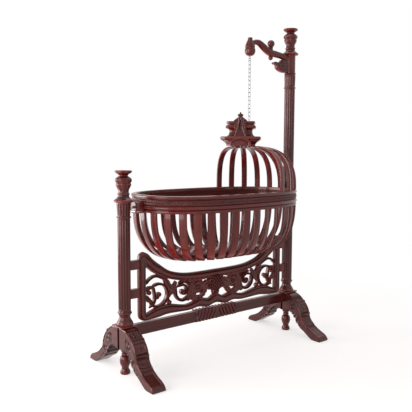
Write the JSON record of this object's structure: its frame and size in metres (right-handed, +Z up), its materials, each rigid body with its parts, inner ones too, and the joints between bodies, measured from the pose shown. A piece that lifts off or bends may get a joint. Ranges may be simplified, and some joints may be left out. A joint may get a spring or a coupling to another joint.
{
  "type": "swinging cradle on stand",
  "caption": "Oval slatted cradle basket with a ribbed hood, swinging on pins between the posts of a carved stand, with an arm and a chain above it for a net.",
  "frame": {"origin": "on the floor, midway between the two posts, in the middle of the stand's width", "axes": "+X towards the tall post at the head end, -Y towards the front, +Z up"},
  "size_m": [1.253, 0.606, 1.83],
  "materials": {
    "lacquered_wood": "dark red-brown wood under a high gloss lacquer",
    "carved_wood": "carved dark red-brown wood under a gloss lacquer",
    "pivot_steel": "turned and brushed",
    "bush_brass": "turned, slightly dulled",
    "chain_steel": "polished wire"
  },
  "bodies": {
    "stand": {"leg_foot_front": "lacquered_wood", "leg_foot_back": "lacquered_wood", "leg_head_front": "lacquered_wood", "leg_head_back": "lacquered_wood", "hubs": "lacquered_wood", "turned_feet": "carved_wood", "short_post": "lacquered_wood", "tall_post": "lacquered_wood", "finial_short_post": "lacquered_wood", "finial_tall_post": "lacquered_wood", "stretcher": "lacquered_wood", "panel_top_rail": "lacquered_wood", "panel_bottom_rail": "lacquered_wood", "panel_stile_foot_end": "lacquered_wood", "panel_stile_head_end": "lacquered_wood", "scrollwork_foot_half": "carved_wood", "scrollwork_head_half": "carved_wood", "panel_rosette": "carved_wood", "panel_blocks": "lacquered_wood", "pivot_bushes": "bush_brass", "canopy_arm": "carved_wood", "arm_drop": "lacquered_wood", "screw_eye": "chain_steel"},
    "cradle": {"rim_band": "lacquered_wood", "rim_rope": "carved_wood", "bottom_board": "lacquered_wood", "slats_at_ends": "lacquered_wood", "slats_01": "lacquered_wood", "slats_02": "lacquered_wood", "slats_03": "lacquered_wood", "slats_04": "lacquered_wood", "slats_05": "lacquered_wood", "slats_06": "lacquered_wood", "slats_07": "lacquered_wood", "slats_08": "lacquered_wood", "slats_09": "lacquered_wood", "slats_10": "lacquered_wood", "slats_11": "lacquered_wood", "slats_12": "lacquered_wood", "slats_13": "lacquered_wood", "slats_14": "lacquered_wood", "slats_15": "lacquered_wood", "slats_16": "lacquered_wood", "hood_rib_middle": "lacquered_wood", "hood_ribs_1": "lacquered_wood", "hood_ribs_2": "lacquered_wood", "hood_ribs_3": "lacquered_wood", "hood_ribs_4": "lacquered_wood", "hood_ribs_5": "lacquered_wood", "hood_cap": "carved_wood", "crown": "carved_wood", "palmette": "carved_wood", "pivot_block_foot_end": "lacquered_wood", "pivot_block_head_end": "lacquered_wood", "pivot_pins": "pivot_steel", "pivot_plates": "pivot_steel"},
    "chain_ring": {"chain_ring": "chain_steel"},
    "chain_upper": {"chain_upper": "chain_steel"},
    "chain_lower": {"chain_lower": "chain_steel", "chain_end_link": "chain_steel"}
  },
  "joints": [
    {"name": "cradle_swing", "type": "hinge", "parent": "stand", "child": "cradle", "pos_m": [0, 0, 0.83], "axis": [1, 0, 0], "range_deg": [-15, 15]},
    {"name": "ring_swing", "type": "hinge", "parent": "stand", "child": "chain_ring", "pos_m": [0.248, 0, 1.6226], "axis": [1, 0, 0], "range_deg": [-12, 12]},
    {"name": "chain_swing", "type": "hinge", "parent": "chain_ring", "child": "chain_upper", "pos_m": [0.248, 0, 1.6097], "axis": [0, 1, 0], "range_deg": [-12, 12]},
    {"name": "chain_bend", "type": "hinge", "parent": "chain_upper", "child": "chain_lower", "pos_m": [0.248, 0, 1.4808], "axis": [1, 0, 0], "range_deg": [-10, 10]}
  ]
}
